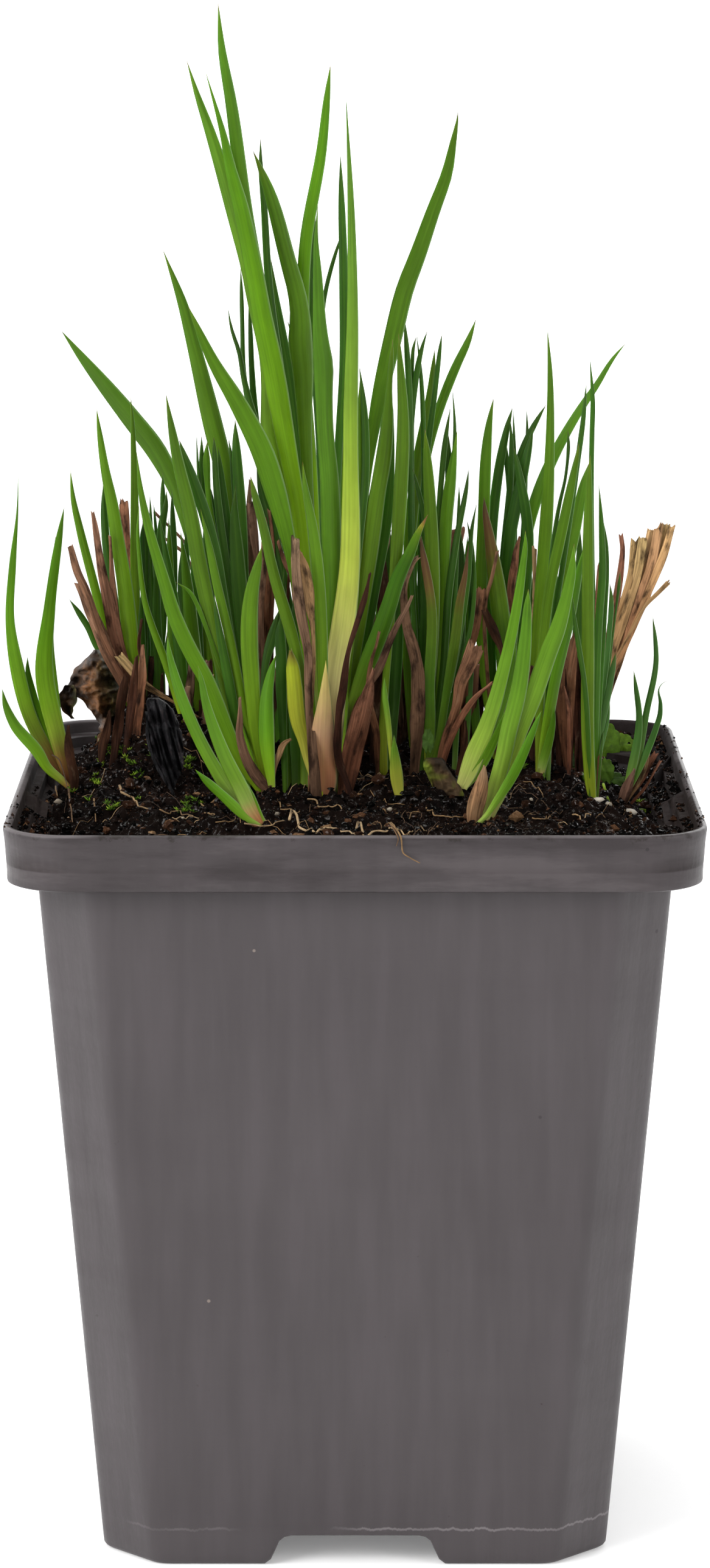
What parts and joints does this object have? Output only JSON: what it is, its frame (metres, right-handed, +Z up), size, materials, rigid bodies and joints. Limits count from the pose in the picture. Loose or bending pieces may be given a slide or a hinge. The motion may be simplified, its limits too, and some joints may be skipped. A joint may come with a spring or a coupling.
{
  "type": "potted grassy plant",
  "caption": "Grassy marsh plant with narrow sword-shaped leaves growing in dark soil in a square tapered plastic nursery pot.",
  "frame": {"origin": "centre of the pot's foot, on the surface that the pot stands on", "axes": "+Z up along the pot and leaves; the front seen in the picture faces -Y; +X to the right seen from the front"},
  "size_m": [0.0923, 0.09, 0.2028],
  "materials": {
    "pot_plastic": "matte dark grey moulded polypropylene with fine vertical streaks, scuffs and dust",
    "potting_soil": "moist brown-black peat with fine roots, grit and moss",
    "green_leaf": "satin green leaf with fine long veins and red-brown tips",
    "dry_leaf": "dull brown dry leaf and sheath",
    "bark": "weathered blue-black bark with fine grooves",
    "mossy_wood": "damp wood under short green moss"
  },
  "bodies": {
    "root": {"back_right_leaf_1": "green_leaf", "back_right_leaf_3": "green_leaf", "back_right_leaf_6": "green_leaf", "back_right_leaf_7": "green_leaf", "back_right_small_leaves": "green_leaf", "bark_chip": "bark", "centre_left_leaf_1": "green_leaf", "centre_left_leaf_3": "green_leaf", "centre_left_leaf_4": "green_leaf", "centre_left_leaf_5": "green_leaf", "centre_left_leaf_6": "green_leaf", "centre_left_leaf_8": "green_leaf", "centre_left_small_leaves": "green_leaf", "curled_dead_leaf": "dry_leaf", "dead_back_right": "dry_leaf", "dead_curl": "dry_leaf", "dead_left_sheaths": "dry_leaf", "dead_main_1": "dry_leaf", "dead_right": "dry_leaf", "dead_torn_strips": "dry_leaf", "far_left_leaf_1": "green_leaf", "far_left_leaf_2": "green_leaf", "far_left_low_leaves": "green_leaf", "far_right_leaves": "green_leaf", "front_left_leaf_1": "green_leaf", "front_left_leaf_2": "green_leaf", "front_right_leaf_1": "green_leaf", "front_right_leaf_2": "green_leaf", "front_right_leaf_3": "green_leaf", "front_right_leaf_4": "green_leaf", "front_sprout": "green_leaf", "left_leaf_1": "green_leaf", "left_leaf_2": "green_leaf", "left_leaf_4": "green_leaf", "left_small_leaves": "green_leaf", "main_front_leaves": "green_leaf", "main_leaf_1": "green_leaf", "main_leaf_2": "green_leaf", "main_leaf_3": "green_leaf", "main_leaf_4": "green_leaf", "main_leaf_5": "green_leaf", "main_leaf_6": "green_leaf", "main_leaf_7": "green_leaf", "main_leaf_9": "green_leaf", "main_small_leaves": "green_leaf", "middle_leaf_1": "green_leaf", "middle_leaf_2": "green_leaf", "middle_leaf_3": "green_leaf", "middle_leaf_4": "green_leaf", "middle_right_leaf_1": "green_leaf", "middle_right_leaf_2": "green_leaf", "middle_right_leaf_3": "green_leaf", "middle_right_small_leaves": "green_leaf", "mossy_stump": "mossy_wood", "pot": "pot_plastic", "right_back_leaves": "green_leaf", "right_leaf_1": "green_leaf", "right_leaf_5": "green_leaf", "right_small_leaves": "green_leaf", "soil": "potting_soil"}
  },
  "joints": []
}
